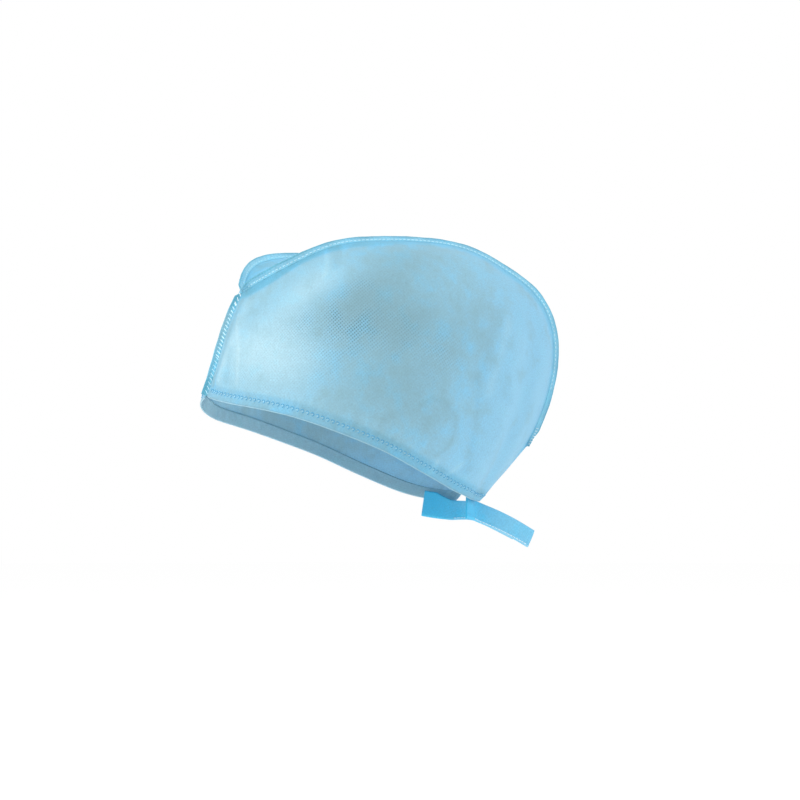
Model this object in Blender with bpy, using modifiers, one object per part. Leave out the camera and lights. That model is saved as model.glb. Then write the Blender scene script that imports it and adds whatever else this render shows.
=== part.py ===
"""Surgical cap: a disposable nonwoven cap with a crown strip, two side panels, standing seams,
a turned-up hem and two ties. Metres, +Z up. The face side is -Y and the wearer's left is +X.
The origin is the middle of the head opening, where a head holds the cap."""

import math

import bmesh
import bpy
import numpy as np

# Cloth
WALL = 0.0010
GAP = 0.0003

# Head opening, seen from above: an ellipse that the lower hem follows
OPENING_LENGTH = 0.180
OPENING_WIDTH = 0.152
OPENING_CENTRE = 0.003
HEM_TURN = math.radians(162.0)
HEM_RISE = 0.0335
HEM_DEPTH = 0.0085
HEM_START = 0.0034

# Crown strip and its two seams
CROWN_START = -0.0632
CROWN_LENGTH = 0.2014
CROWN_HALF_WIDTH = 0.038
CAP_HEIGHT = 0.1325
CROWN_SAG = 0.004
CROWN_BULGE = 0.002

# Panels between hem and crown seam, and where a section's lower handle sits in its rise
SWELL = 0.024
ROLL = 0.048
LOW_HANDLE = 0.36

# Standing seam allowances
FLANGE_HEIGHT = 0.0027
FLANGE_THICK = 0.0011
FRONT_FLANGE_HEIGHT = 0.0034
FRONT_FLANGE_SLANT = 0.11
SEAM_JOINT = 0.0018

# Ties
TIE_WIDTH = 0.0125
TIE_THICK = 0.0012
TIE_LENGTH = 0.046
TIE_SEWN = 0.026
TIE_TAB = 0.005
TIE_SLACK = 0.0006

# Mesh fineness
PANEL_STEPS = 44
PANEL_ROWS = 16
HEM_STEPS = 2
CROWN_STEPS = 44
CROWN_ROWS = 8
SEAM_STEPS = 56
TIE_STEPS = 22

# Sections of a side panel at the hem. Columns: station, share of the hem's turn, share of its rise.
HEM_ROWS = (
    (0.000, 0.000, 0.985),
    (0.108, 0.148, 0.810),
    (0.260, 0.321, 0.580),
    (0.440, 0.494, 0.146),
    (0.530, 0.574, -0.100),
    (0.625, 0.654, -0.390),
    (0.704, 0.735, -0.657),
    (0.776, 0.809, -0.854),
    (0.895, 0.926, -0.990),
    (1.000, 1.000, -1.000),
)

# The same sections at the crown seam. Columns: station, along and out as shares of the crown's
# length and half width, rise as a share of the cap's height, roll and droop of the cloth as it
# leaves the seam, and the direction in which it leaves, as a share of a half turn from the front.
SEAM_ROWS = (
    (0.000, 0.000, 0.00, 0.757, 0.10, 0.33, 0.00),
    (0.050, 0.020, 0.26, 0.782, 0.12, 0.33, 0.17),
    (0.108, 0.064, 0.59, 0.826, 0.14, 0.31, 0.29),
    (0.177, 0.140, 0.82, 0.889, 0.24, 0.24, 0.38),
    (0.260, 0.254, 0.92, 0.962, 0.52, 0.12, 0.45),
    (0.350, 0.398, 0.97, 0.990, 0.84, 0.06, 0.49),
    (0.440, 0.537, 1.00, 0.992, 0.96, 0.05, 0.50),
    (0.530, 0.686, 0.99, 0.962, 0.96, 0.06, 0.49),
    (0.625, 0.827, 0.95, 0.866, 0.86, 0.08, 0.46),
    (0.704, 0.930, 0.90, 0.757, 0.74, 0.12, 0.43),
    (0.776, 0.989, 0.83, 0.604, 0.64, 0.16, 0.41),
    (0.838, 1.000, 0.79, 0.453, 0.54, 0.20, 0.41),
    (0.895, 0.987, 0.74, 0.302, 0.42, 0.25, 0.41),
    (0.950, 0.955, 0.71, 0.155, 0.24, 0.30, 0.41),
    (1.000, 0.912, 0.69, 0.019, 0.00, 0.33, 0.41),
)

# How the right side differs from the left near the front, where its cloth stands fuller.
# Columns: station, forward and lift of the seam, forward and drop of the hem, as shares of the
# cap's height.
RIGHT_FRONT = (
    (0.000, 0.000, 0.000, 0.000, 0.000),
    (0.050, 0.006, 0.023, 0.018, 0.006),
    (0.108, 0.020, 0.060, 0.024, 0.016),
    (0.177, 0.020, 0.058, 0.022, 0.024),
    (0.260, 0.004, 0.004, 0.012, 0.020),
    (0.440, 0.000, 0.000, 0.000, 0.000),
    (1.000, 0.000, 0.000, 0.000, 0.000),
)

# How full the cloth swells above the hem. Columns: station, share of the swell.
SWELL_ROWS = (
    (0.00, 0.00),
    (0.12, 0.08),
    (0.26, 0.45),
    (0.44, 0.95),
    (0.62, 1.00),
    (0.78, 0.70),
    (0.90, 0.30),
    (1.00, 0.00),
)

# How far a tie's middle sits below the lower edge where it starts and at the rear corner, as
# shares of its width
TIE_DROP = (0.48, 0.50)

# Free length of each tie. Columns: out, back and up, as shares of its length.
LEFT_TIE = ((-0.04, 0.33, -0.12), (-0.09, 0.90, -0.40))
RIGHT_TIE = ((-0.06, 0.27, 0.00), (-0.07, 0.57, -0.10), (-0.08, 0.98, -0.30))

# Soft folds in the side panels. Columns: side, station and height of one end, station and height
# of the other, half width and depth in shares of the swell, where a hollow is negative.
FOLDS = (
    (1, 0.860, 0.08, 0.730, 0.78, 0.45, -0.10),
    (1, 0.800, 0.05, 0.700, 0.60, 0.40, 0.07),
    (1, 0.050, 0.15, 0.070, 0.80, 0.22, 0.05),
    (1, 0.300, 0.86, 0.285, 0.98, 0.25, -0.05),
    (-1, 0.830, 0.06, 0.760, 0.82, 0.45, -0.09),
    (-1, 0.560, 0.10, 0.600, 0.70, 0.60, 0.06),
    (-1, 0.130, 0.10, 0.110, 0.75, 0.35, -0.06),
)

# A side panel laid flat: its length along the middle and its height. The folds are placed on it.
PANEL_RUN = 0.260
PANEL_TALL = 0.150

# How fast the folds fade in from the crown seam, the front edge and the back edge
SEAM_FADE = 8.0
FRONT_FADE = 20.0
BACK_FADE = 12.0

# Stations where the crown strip starts, over which its front bulge fades, and from which its back
# bulges
CROWN_TIP = 0.018
FRONT_BULGE = 0.05
BACK_BULGE = 0.6

# Where the rear part of the hem begins, which holds a tie, and the points that lay the tie on it.
# The tie's tab begins to narrow at this share of its sewn length.
REAR_PART = 0.85
SEWN_POINTS = 6
TAB_NARROWS = 0.4

# Steps for directions: in station or height, and along a crown section or a tie
FINE_STEP = 0.002
COARSE_STEP = 0.01


def clear_scene():
    for item in list(bpy.data.objects):
        bpy.data.objects.remove(item, do_unlink=True)


def new_collection(name):
    collection = bpy.data.collections.new(name)
    bpy.context.scene.collection.children.link(collection)
    return collection


def cloth_material(name, colour, roughness):
    material = bpy.data.materials.new(name)
    material.use_nodes = True
    shader = material.node_tree.nodes["Principled BSDF"]
    shader.inputs["Base Color"].default_value = (*colour, 1.0)
    shader.inputs["Roughness"].default_value = roughness
    shader.inputs["Metallic"].default_value = 0.0
    return material


def spline(rows, column, at):
    """Natural cubic curve through one column of a table, over its first column."""
    table = np.array(rows, float)
    x = table[:, 0]
    y = table[:, column]
    step = np.diff(x)
    slope = np.diff(y) / step
    size = len(x)
    system = np.eye(size)
    right = np.zeros(size)
    for i in range(1, size - 1):
        system[i, i - 1] = step[i - 1]
        system[i, i] = 2 * (step[i - 1] + step[i])
        system[i, i + 1] = step[i]
        right[i] = 6 * (slope[i] - slope[i - 1])
    bend = np.linalg.solve(system, right)
    at = np.clip(np.asarray(at, float), x[0], x[-1])
    i = np.clip(np.searchsorted(x, at) - 1, 0, size - 2)
    before = x[i + 1] - at
    after = at - x[i]
    h = step[i]
    return (
        bend[i] * before**3 / (6 * h)
        + bend[i + 1] * after**3 / (6 * h)
        + (y[i] / h - bend[i] * h / 6) * before
        + (y[i + 1] / h - bend[i + 1] * h / 6) * after
    )


def unit(vectors):
    return vectors / np.linalg.norm(vectors, axis=-1, keepdims=True)


def hem_line(station, side):
    """Points of the lower edge, and the outward direction there."""
    turn = HEM_TURN * spline(HEM_ROWS, 1, station)
    half_width = OPENING_WIDTH / 2
    half_length = OPENING_LENGTH / 2
    forward = drop = 0.0
    if side < 0:
        forward = CAP_HEIGHT * spline(RIGHT_FRONT, 3, station)
        drop = CAP_HEIGHT * spline(RIGHT_FRONT, 4, station)
    points = np.stack(
        [
            side * half_width * np.sin(turn),
            OPENING_CENTRE - half_length * np.cos(turn) - forward,
            HEM_RISE * spline(HEM_ROWS, 2, station) - drop,
        ],
        axis=-1,
    )
    outward = np.stack(
        [
            side * half_length * np.sin(turn),
            -half_width * np.cos(turn),
            np.zeros_like(turn),
        ],
        axis=-1,
    )
    return points, unit(outward)


def seam_line(station, side):
    """Points of the crown seam, and the direction in which the panel leaves it."""
    along = spline(SEAM_ROWS, 1, station)
    out = np.maximum(spline(SEAM_ROWS, 2, station), 0.0)
    rise = spline(SEAM_ROWS, 3, station)
    fan = math.pi * spline(SEAM_ROWS, 6, station)
    forward = lift = 0.0
    if side < 0:
        forward = CAP_HEIGHT * spline(RIGHT_FRONT, 1, station)
        lift = CAP_HEIGHT * spline(RIGHT_FRONT, 2, station)
    points = np.stack(
        [
            side * CROWN_HALF_WIDTH * out,
            CROWN_START + CROWN_LENGTH * along - forward,
            CAP_HEIGHT * rise + lift,
        ],
        axis=-1,
    )
    outward = np.stack([side * np.sin(fan), -np.cos(fan), np.zeros_like(fan)], axis=-1)
    return points, outward


def fold_depth(station, height, side):
    """How far the folds push the cloth out. It fades to nothing at the seams and the back edge."""
    run = np.array([PANEL_RUN, PANEL_TALL])
    place = np.stack(np.broadcast_arrays(station, height), axis=-1) * run
    total = np.zeros(place.shape[:-1])
    for fold_side, s0, h0, s1, h1, half_width, depth in FOLDS:
        if fold_side != side:
            continue
        low = np.array([s0, h0]) * run
        ridge = np.array([s1, h1]) * run - low
        share = np.clip((place - low) @ ridge / (ridge @ ridge), 0, 1)
        away = np.linalg.norm(place - low - share[..., None] * ridge, axis=-1)
        total += depth * SWELL * np.exp(-((away / (half_width * SWELL)) ** 2))
    ends = np.minimum(FRONT_FADE * station, BACK_FADE * (1 - station))
    return total * np.clip(np.minimum(SEAM_FADE * (1 - height), ends), 0, 1)


def panel_points(station, height, side):
    """Outer face of a side panel: at each station a cubic curve from the hem up to the seam."""
    hem, hem_out = hem_line(station, side)
    seam, seam_out = seam_line(station, side)
    rise = seam - hem
    swell = SWELL * spline(SWELL_ROWS, 1, station)[..., None]
    roll = ROLL * spline(SEAM_ROWS, 4, station)[..., None]
    droop = spline(SEAM_ROWS, 5, station)[..., None]
    low = hem + LOW_HANDLE * rise + swell * hem_out
    high = seam - droop * rise + roll * seam_out
    t = np.asarray(height, float)[..., None]
    smooth = (
        (1 - t) ** 3 * hem
        + 3 * (1 - t) ** 2 * t * low
        + 3 * (1 - t) * t**2 * high
        + t**3 * seam
    )
    outward = unit((1 - t) * hem_out + t * seam_out)
    return smooth + fold_depth(station, height, side)[..., None] * outward


def crown_points(station, across):
    """Outer face of the crown strip between its two seams. across runs from -1 (right) to 1."""
    left, _ = seam_line(station, 1)
    right, _ = seam_line(station, -1)
    share = (np.asarray(across, float)[..., None] + 1) / 2
    points = right + (left - right) * share
    arch = 4 * share[..., 0] * (1 - share[..., 0])
    forward = np.exp(-station / FRONT_BULGE)
    backward = np.clip((station - BACK_BULGE) / (1 - BACK_BULGE), 0, 1)
    points[..., 2] -= CROWN_SAG * np.sin(math.pi * station) * arch
    points[..., 1] += CROWN_BULGE * arch * (backward - forward)
    return points


def shifted(value, step, low=0.0, high=1.0):
    """Two values a small step apart, both inside the range."""
    return np.clip(value - step, low, high), np.clip(value + step, low, high)


def panel_normals(station, height, side):
    before, after = shifted(station, FINE_STEP)
    below, above = shifted(height, FINE_STEP)
    along = panel_points(after, height, side) - panel_points(before, height, side)
    up = panel_points(station, above, side) - panel_points(station, below, side)
    return unit(np.cross(along, up)) * side


def crown_normals(station, across):
    before, after = shifted(station, FINE_STEP)
    right, left = shifted(across, COARSE_STEP, -1.0, 1.0)
    along = crown_points(after, across) - crown_points(before, across)
    over = crown_points(station, left) - crown_points(station, right)
    return unit(np.cross(over, along))


def grid_object(name, columns, rows, surface, material, collection):
    """A grid whose points a surface function places: surface(u, v) with u and v from 0 to 1."""
    mesh = bpy.data.meshes.new(name)
    build = bmesh.new()
    bmesh.ops.create_grid(build, x_segments=columns, y_segments=rows, size=0.5)
    build.verts.ensure_lookup_table()
    flat = np.array([(v.co.x + 0.5, v.co.y + 0.5) for v in build.verts])
    placed = surface(flat[:, 0], flat[:, 1])
    for vert, point in zip(build.verts, placed):
        vert.co = point
    build.to_mesh(mesh)
    build.free()
    mesh.shade_smooth()
    item = bpy.data.objects.new(name, mesh)
    mesh.materials.append(material)
    collection.objects.link(item)
    return item


def solidify(item, thickness, offset):
    modifier = item.modifiers.new("Cloth", "SOLIDIFY")
    modifier.thickness = thickness
    modifier.offset = offset
    modifier.use_even_offset = False
    return item


def section_speed(station, side):
    """How fast a section leaves the hem and reaches the seam, in metres for each unit of height."""
    start = panel_points(station, np.full_like(station, COARSE_STEP), side)
    start = start - panel_points(station, np.zeros_like(station), side)
    end = panel_points(station, np.ones_like(station), side)
    end = end - panel_points(station, np.full_like(station, 1 - COARSE_STEP), side)
    start_speed = np.linalg.norm(start, axis=-1) / COARSE_STEP
    return start_speed, np.linalg.norm(end, axis=-1) / COARSE_STEP


def front_station(distance):
    """The station of a panel that lies this far from its front edge, halfway up."""
    height = np.array([0.5, 0.5])
    near = panel_points(np.array([0.0, FINE_STEP]), height, 1)
    return distance * FINE_STEP / np.linalg.norm(near[1] - near[0])


def panel_sheet(side):
    """The outer face of a panel, trimmed short of the front seam and of the crown seam."""
    front = front_station(0.5 * SEAM_JOINT)

    def surface(u, v):
        u = u if side > 0 else 1 - u
        station = front + (1 - front) * u
        start_speed, end_speed = section_speed(station, side)
        fold = HEM_DEPTH / start_speed
        top = 1 - 0.5 * SEAM_JOINT / end_speed
        rows = HEM_STEPS / PANEL_ROWS
        above = fold + (top - fold) * (v - rows) / (1 - rows)
        return panel_points(station, np.where(v < rows, fold * v / rows, above), side)

    return surface


def hem_sheet(side):
    """The turned-up layer, inside the panel's wall."""
    front = front_station(HEM_START)

    def surface(u, v):
        u = u if side > 0 else 1 - u
        station = front + (1 - front) * u
        height = v * HEM_DEPTH / section_speed(station, side)[0]
        inward = -(WALL + GAP) * panel_normals(station, height, side)
        return panel_points(station, height, side) + inward

    return surface


def crown_sheet(u, v):
    """The outer face of the crown strip, trimmed short of both seams."""
    station = CROWN_TIP + (1 - CROWN_TIP) * v
    half = CROWN_HALF_WIDTH * spline(SEAM_ROWS, 2, station)
    across = (2 * u - 1) * (1 - 0.5 * SEAM_JOINT / half)
    return crown_points(station, across)


def crown_flange(side):
    """The standing allowance on a crown seam."""

    def surface(u, v):
        u = u if side > 0 else 1 - u
        station = CROWN_TIP + (1 - CROWN_TIP) * u
        base, _ = seam_line(station, side)
        top = np.ones_like(station)
        standing = panel_normals(station, top, side) + crown_normals(station, side * top)
        height = GAP + v * FLANGE_HEIGHT
        return base + height[..., None] * unit(standing)

    return surface


def front_flange(u, v):
    """The standing allowance of the front seam. Its upper end is cut slanting."""
    u = u * (1 - FRONT_FLANGE_SLANT * v)
    station = np.full_like(u, front_station(0.5 * SEAM_JOINT))
    base = panel_points(np.zeros_like(u), u, 1)
    base[..., 0] = 0.0
    standing = panel_normals(station, u, 1) + panel_normals(station, u, -1)
    standing[..., 0] = 0.0
    height = GAP + v * FRONT_FLANGE_HEIGHT
    return base + height[..., None] * unit(standing)


def tie_route(side, shares):
    """Middle line of a tie: along the hem's inside to the rear corner, then free."""
    inset = 2 * (WALL + GAP) + TIE_SLACK + 0.5 * TIE_THICK
    back = np.linspace(1, 0, SEWN_POINTS)
    near_end = hem_line(np.array([REAR_PART, 1.0]), side)[0]
    end_speed = np.linalg.norm(near_end[1] - near_end[0]) / (1 - REAR_PART)
    sewn = 1 - TIE_SEWN / end_speed * back
    edge, outward = hem_line(sewn, side)
    held = edge - inset * outward
    held[:, 2] -= TIE_WIDTH * (TIE_DROP[1] + (TIE_DROP[0] - TIE_DROP[1]) * back)
    rows = LEFT_TIE if side > 0 else RIGHT_TIE
    free = held[-1] + TIE_LENGTH * np.array(rows) * np.array([side, 1, 1])
    points = np.vstack([held, free])
    run = np.concatenate([[0.0], np.cumsum(np.linalg.norm(np.diff(points, axis=0), axis=1))])
    table = np.column_stack([run / run[-1], points])
    return np.stack([spline(table, k, shares) for k in (1, 2, 3)], axis=-1)


def tie_sheet(side):
    def surface(u, v):
        u = u if side > 0 else 1 - u
        before, after = shifted(u, COARSE_STEP)
        along = unit(tie_route(side, after) - tie_route(side, before))
        up = np.array([0.0, 0.0, 1.0]) - along[..., 2:3] * along
        free = np.clip(u * (TIE_SEWN + TIE_LENGTH) / TIE_SEWN - TAB_NARROWS, 0, 1)
        tab = TIE_TAB * v * (1 - free) ** 2
        return tie_route(side, u) + (TIE_WIDTH * (v - 0.5) + tab)[..., None] * unit(up)

    return surface


def build():
    clear_scene()
    cap = new_collection("Surgical cap")
    cloth = cloth_material("Nonwoven cloth", (0.36, 0.66, 0.80), 0.75)
    seam = cloth_material("Sewn allowance", (0.24, 0.58, 0.77), 0.75)
    strap = cloth_material("Folded tie cloth", (0.13, 0.45, 0.70), 0.7)
    for name, side in (("left", 1), ("right", -1)):
        panel = grid_object(
            "side_panel_" + name, PANEL_STEPS, PANEL_ROWS, panel_sheet(side), cloth, cap
        )
        solidify(panel, WALL, -1.0)
        hem = grid_object(
            "hem_" + name, PANEL_STEPS, HEM_STEPS, hem_sheet(side), seam, cap
        )
        solidify(hem, WALL, -1.0)
        flange = grid_object(
            "crown_seam_" + name, SEAM_STEPS, 1, crown_flange(side), seam, cap
        )
        solidify(flange, FLANGE_THICK, 0.0)
        tie = grid_object("tie_" + name, TIE_STEPS, 2, tie_sheet(side), strap, cap)
        solidify(tie, TIE_THICK, 0.0)
    crown = grid_object("crown", CROWN_ROWS, CROWN_STEPS, crown_sheet, cloth, cap)
    solidify(crown, WALL, -1.0)
    front = grid_object("front_seam", PANEL_ROWS, 1, front_flange, seam, cap)
    solidify(front, FLANGE_THICK, 0.0)


build()
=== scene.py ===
# %% [markdown]
# # A surgical cap of nonwoven cloth
# A disposable surgical cap is cut from light polypropylene cloth. A long strip runs over the crown,
# and a side panel hangs from each of its edges. The edges are sewn together on the outside, so each
# seam stands up as a thin fin. The lower edge is turned up into a hem, and a tie leaves each rear
# corner. The solid model that is loaded here fixes the places and sizes. Each step dresses one part
# of it in thin cloth with real seams, stitches and folds.

# %% Load the solid model
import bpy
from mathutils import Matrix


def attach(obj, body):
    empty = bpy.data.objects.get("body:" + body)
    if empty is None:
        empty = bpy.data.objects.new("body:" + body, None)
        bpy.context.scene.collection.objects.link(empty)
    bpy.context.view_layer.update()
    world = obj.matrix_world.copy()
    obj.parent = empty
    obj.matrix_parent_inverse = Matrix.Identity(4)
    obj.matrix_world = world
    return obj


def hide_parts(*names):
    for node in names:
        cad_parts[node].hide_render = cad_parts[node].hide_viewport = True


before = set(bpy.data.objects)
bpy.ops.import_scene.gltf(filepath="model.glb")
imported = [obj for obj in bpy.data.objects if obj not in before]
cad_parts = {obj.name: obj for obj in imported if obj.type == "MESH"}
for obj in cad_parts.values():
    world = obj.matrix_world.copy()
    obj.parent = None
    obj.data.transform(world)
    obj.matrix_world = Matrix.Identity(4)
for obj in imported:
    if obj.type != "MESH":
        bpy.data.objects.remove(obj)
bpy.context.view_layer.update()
print("solid nodes:", sorted(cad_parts))

# %% Tools
import math

import bmesh
import bpy
import numpy as np
from mathutils import Vector

scene = bpy.context.scene


def millimetres(value):
    return value / 1000


# %% [markdown]
# ## Camera
# A product photograph is taken from a few paces away with a long lens, so that near and far sides
# keep nearly the same size. The camera stands at the cap's left and a little in front of it, and just
# low enough to look slightly up. A camera looks along its own -Z, so the direction to the point that
# it looks at is turned into a rotation.

# %% Camera
VIEW_FROM = math.radians(72.0)
CAMERA_DISTANCE = 1.25
CAMERA_HEIGHT = -0.036
LOOK_AT = Vector((0.0, 0.0419, 0.0325))

lens = bpy.data.cameras.new("Studio camera")
lens.sensor_width = 36.0
lens.lens = 86.2
camera = bpy.data.objects.new("Studio camera", lens)
stand = Vector((math.sin(VIEW_FROM), -math.cos(VIEW_FROM), 0.0)) * CAMERA_DISTANCE
camera.location = (LOOK_AT.x + stand.x, LOOK_AT.y + stand.y, CAMERA_HEIGHT)
camera.rotation_euler = (LOOK_AT - camera.location).to_track_quat("-Z", "Y").to_euler()
scene.collection.objects.link(camera)
scene.camera = camera
print("camera at", [round(value, 3) for value in camera.location])

# %% [markdown]
# ## Floor and light
# White goods are shot on white with large soft lamps. A wide pale disc is the floor. The world gives
# even light from all round, and two large area lamps shape it: the main one from the front, above the
# camera's left, and a weaker one from behind. The Standard view keeps white white.

# %% Floor and light
FLOOR_HEIGHT = -0.34
FLOOR_RADIUS = 9.0


def linear(hex_colour):
    """An sRGB hex colour as the linear numbers that shaders work in, and 1 for full opacity."""
    parts = [int(hex_colour[i : i + 2], 16) / 255 for i in (1, 3, 5)]
    return (*[c / 12.92 if c <= 0.04045 else ((c + 0.055) / 1.055) ** 2.4 for c in parts], 1.0)


def fill_inputs(node, inputs):
    """Fills each named or numbered input of a node with a value or a link."""
    for name, value in inputs.items():
        if isinstance(value, bpy.types.NodeSocket):
            node.id_data.links.new(value, node.inputs[name])
        else:
            node.inputs[name].default_value = value
    return node


def add_node(tree, kind, inputs=None, **settings):
    """Adds a node, sets its options and fills its inputs."""
    node = tree.nodes.new(kind)
    for name, value in settings.items():
        setattr(node, name, value)
    return fill_inputs(node, inputs or {})


def new_material(name):
    """A new material, its node tree and its Principled shader."""
    material = bpy.data.materials.new(name)
    material.use_nodes = True
    return material, material.node_tree, material.node_tree.nodes["Principled BSDF"]


def area_lamp(name, azimuth, height, distance, size, power):
    """A square lamp that faces the cap from an azimuth, a height and a distance."""
    light = bpy.data.lights.new(name, "AREA")
    light.shape = "SQUARE"
    light.size = size
    light.energy = power
    lamp = bpy.data.objects.new(name, light)
    turn = math.radians(azimuth)
    lamp.location = (distance * math.sin(turn), -distance * math.cos(turn), height)
    lamp.rotation_euler = (LOOK_AT - lamp.location).to_track_quat("-Z", "Y").to_euler()
    scene.collection.objects.link(lamp)
    return lamp


disc = bmesh.new()
bmesh.ops.create_circle(disc, cap_ends=True, segments=96, radius=FLOOR_RADIUS)
bmesh.ops.translate(disc, verts=disc.verts, vec=(0.0, 0.0, FLOOR_HEIGHT))
floor_mesh = bpy.data.meshes.new("Floor")
disc.to_mesh(floor_mesh)
disc.free()
floor = bpy.data.objects.new("Floor", floor_mesh)
scene.collection.objects.link(floor)
paint, _, shader = new_material("Matte white studio paint")
fill_inputs(shader, {"Base Color": linear("#fefefe"), "Roughness": 0.9, "Specular IOR Level": 0.0})
floor_mesh.materials.append(paint)

world = bpy.data.worlds.new("Studio")
world.use_nodes = True
fill_inputs(world.node_tree.nodes["Background"], {"Color": linear("#ffffff"), "Strength": 1.0})
scene.world = world
scene.view_settings.view_transform = "Standard"
main_lamp = area_lamp("Main lamp", 20.0, 1.2, 1.6, 1.1, 22.0)
back_lamp = area_lamp("Back lamp", 160.0, 1.0, 1.8, 1.4, 12.0)
print("lamps:", main_lamp.name, main_lamp.data.energy, "W,", back_lamp.name, back_lamp.data.energy, "W")

# %% [markdown]
# ## The cloth's form
# A rounded cap has few true lengths but two clear lines: the hem, which falls from the high front along
# the sides to the low back, and the crown seam. Each is a table of a few sections, joined by a smooth
# curve, and the panel between them is drawn as one Bezier curve at each section. The tables hold the
# same values as the solid model, so the thin cloth lies on it without fitting.

# %% The cloth's form: sizes
# In metres, apart from HEM_TURN, an angle, and LOW_HANDLE, a share of the panel's height
OPENING_LENGTH = 0.180
OPENING_WIDTH = 0.152
OPENING_CENTRE = 0.003
HEM_TURN = math.radians(162.0)
HEM_RISE = 0.0335
CROWN_START = -0.0632
CROWN_LENGTH = 0.2014
CROWN_HALF_WIDTH = 0.038
CAP_HEIGHT = 0.1325
CROWN_SAG = 0.004
CROWN_BULGE = 0.002
SWELL = 0.024
ROLL = 0.048
LOW_HANDLE = 0.36
FINE_STEP = 0.002

# Sections at the hem: station, share of the hem's turn, share of its rise
HEM_ROWS = (
    (0.000, 0.000, 0.985), (0.108, 0.148, 0.810), (0.260, 0.321, 0.580), (0.440, 0.494, 0.146),
    (0.530, 0.574, -0.100), (0.625, 0.654, -0.390), (0.704, 0.735, -0.657), (0.776, 0.809, -0.854),
    (0.895, 0.926, -0.990), (1.000, 1.000, -1.000),
)
# Sections at the crown seam: station, along, out, rise, roll, droop, fan
SEAM_ROWS = (
    (0.000, 0.000, 0.00, 0.757, 0.10, 0.33, 0.00),
    (0.050, 0.020, 0.26, 0.782, 0.12, 0.33, 0.17),
    (0.108, 0.064, 0.59, 0.826, 0.14, 0.31, 0.29),
    (0.177, 0.140, 0.82, 0.889, 0.24, 0.24, 0.38),
    (0.260, 0.254, 0.92, 0.962, 0.52, 0.12, 0.45),
    (0.350, 0.398, 0.97, 0.990, 0.84, 0.06, 0.49),
    (0.440, 0.537, 1.00, 0.992, 0.96, 0.05, 0.50),
    (0.530, 0.686, 0.99, 0.962, 0.96, 0.06, 0.49),
    (0.625, 0.827, 0.95, 0.866, 0.86, 0.08, 0.46),
    (0.704, 0.930, 0.90, 0.757, 0.74, 0.12, 0.43),
    (0.776, 0.989, 0.83, 0.604, 0.64, 0.16, 0.41),
    (0.838, 1.000, 0.79, 0.453, 0.54, 0.20, 0.41),
    (0.895, 0.987, 0.74, 0.302, 0.42, 0.25, 0.41),
    (0.950, 0.955, 0.71, 0.155, 0.24, 0.30, 0.41),
    (1.000, 0.912, 0.69, 0.019, 0.00, 0.33, 0.41),
)
# How the right side stands fuller near the front: station, seam forward and up, hem forward and down
RIGHT_FRONT = (
    (0.000, 0.000, 0.000, 0.000, 0.000), (0.050, 0.006, 0.023, 0.018, 0.006),
    (0.108, 0.020, 0.060, 0.024, 0.016), (0.177, 0.020, 0.058, 0.022, 0.024),
    (0.260, 0.004, 0.004, 0.012, 0.020), (0.440, 0.000, 0.000, 0.000, 0.000),
    (1.000, 0.000, 0.000, 0.000, 0.000),
)
# How full the cloth swells above the hem: station, share of the swell
SWELL_ROWS = (
    (0.00, 0.00), (0.12, 0.08), (0.26, 0.45), (0.44, 0.95),
    (0.62, 1.00), (0.78, 0.70), (0.90, 0.30), (1.00, 0.00),
)
print("sections:", len(HEM_ROWS), "at the hem,", len(SEAM_ROWS), "at the crown seam")


# %% The cloth's form: hem and crown seam as smooth lines
def spline(rows, column, at):
    """Natural cubic curve through one column of a table, over its first column."""
    table = np.array(rows, float)
    x = table[:, 0]
    y = table[:, column]
    step = np.diff(x)
    slope = np.diff(y) / step
    system = np.eye(len(x))
    right = np.zeros(len(x))
    for i in range(1, len(x) - 1):
        system[i, i - 1 : i + 2] = (step[i - 1], 2 * (step[i - 1] + step[i]), step[i])
        right[i] = 6 * (slope[i] - slope[i - 1])
    bend = np.linalg.solve(system, right)
    at = np.clip(np.asarray(at, float), x[0], x[-1])
    i = np.clip(np.searchsorted(x, at) - 1, 0, len(x) - 2)
    before = x[i + 1] - at
    after = at - x[i]
    h = step[i]
    curve = (bend[i] * before**3 + bend[i + 1] * after**3) / (6 * h)
    return curve + (y[i] / h - bend[i] * h / 6) * before + (y[i + 1] / h - bend[i + 1] * h / 6) * after


def unit(vectors):
    return vectors / np.linalg.norm(vectors, axis=-1, keepdims=True)


def distance_along(points):
    """Distance from the first point of a line to each of its points."""
    return np.concatenate([[0.0], np.cumsum(np.linalg.norm(np.diff(points, axis=0), axis=1))])


def wave(run, length, shift=0.0):
    """A sine wave of a given length along a run."""
    return np.sin(2 * math.pi * run / length + shift)


def hem_line(station, side):
    """Points of the lower edge, and the outward direction there."""
    turn = HEM_TURN * spline(HEM_ROWS, 1, station)
    forward = CAP_HEIGHT * spline(RIGHT_FRONT, 3, station) * (side < 0)
    drop = CAP_HEIGHT * spline(RIGHT_FRONT, 4, station) * (side < 0)
    across = side * OPENING_WIDTH / 2 * np.sin(turn)
    back = OPENING_CENTRE - OPENING_LENGTH / 2 * np.cos(turn) - forward
    points = np.stack([across, back, HEM_RISE * spline(HEM_ROWS, 2, station) - drop], axis=-1)
    out_across = side * OPENING_LENGTH * np.sin(turn)
    outward = np.stack([out_across, -OPENING_WIDTH * np.cos(turn), np.zeros_like(turn)], axis=-1)
    return points, unit(outward)


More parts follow.
